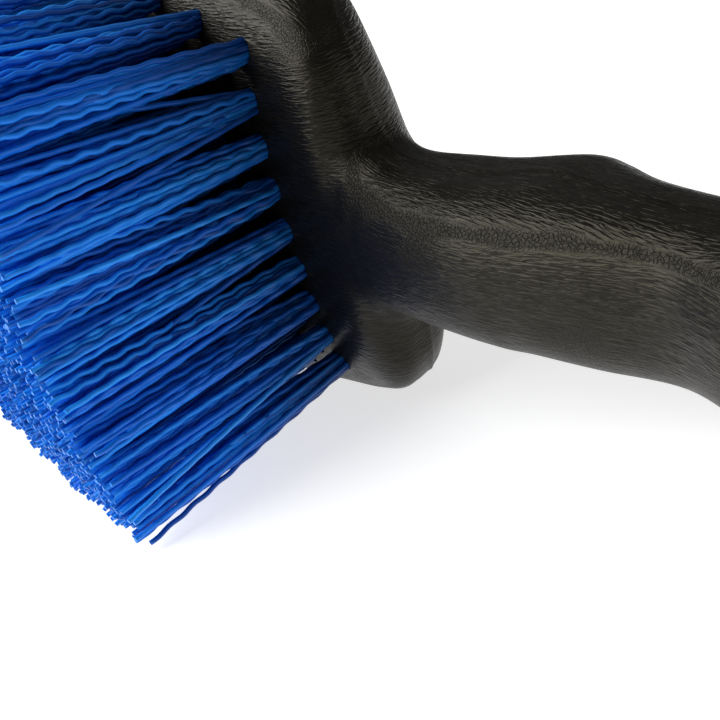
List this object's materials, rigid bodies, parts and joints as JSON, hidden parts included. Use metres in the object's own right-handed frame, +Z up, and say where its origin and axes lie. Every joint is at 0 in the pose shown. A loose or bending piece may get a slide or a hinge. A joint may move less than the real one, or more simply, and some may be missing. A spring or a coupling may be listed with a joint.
{
  "type": "wheel brush",
  "caption": "Hand brush lying on its side: black moulded block and contoured handle with a hanging hole, and blue crimped bristle tufts set in staggered rows.",
  "frame": {"origin": "middle of the underside of the box round the brush as it lies on its side", "axes": "+X runs from the toe of the head to the hanging end of the handle, +Y out of the back, +Z up from the surface that it lies on"},
  "size_m": [0.2688, 0.0898, 0.119],
  "materials": {
    "moulding": "black polypropylene with a fine grain moulded in",
    "bristle": "bright blue crimped polypropylene bristle",
    "anchor_wire": "flat galvanised wire"
  },
  "bodies": {
    "root": {"bristle_row_10": "bristle", "bristle_row_11": "bristle", "bristle_row_12": "bristle", "bristle_row_2": "bristle", "bristle_row_3": "bristle", "bristle_row_4": "bristle", "bristle_row_5": "bristle", "bristle_row_6": "bristle", "bristle_row_7": "bristle", "bristle_row_8": "bristle", "bristle_row_9": "bristle", "heel_anchor_1": "anchor_wire", "heel_anchor_2": "anchor_wire", "heel_anchor_3": "anchor_wire", "heel_anchor_4": "anchor_wire", "heel_anchor_5": "anchor_wire", "heel_anchor_6": "anchor_wire", "heel_anchor_7": "anchor_wire", "heel_anchor_8": "anchor_wire", "heel_anchor_9": "anchor_wire", "heel_tuft_1": "bristle", "heel_tuft_2": "bristle", "heel_tuft_3": "bristle", "heel_tuft_4": "bristle", "heel_tuft_5": "bristle", "heel_tuft_6": "bristle", "heel_tuft_7": "bristle", "heel_tuft_8": "bristle", "heel_tuft_9": "bristle", "moulded_body": "moulding", "toe_anchor_1": "anchor_wire", "toe_anchor_2": "anchor_wire", "toe_anchor_3": "anchor_wire", "toe_anchor_4": "anchor_wire", "toe_anchor_5": "anchor_wire", "toe_anchor_6": "anchor_wire", "toe_anchor_7": "anchor_wire", "toe_tuft_1": "bristle", "toe_tuft_2": "bristle", "toe_tuft_3": "bristle", "toe_tuft_4": "bristle", "toe_tuft_5": "bristle", "toe_tuft_6": "bristle", "toe_tuft_7": "bristle"}
  },
  "joints": []
}
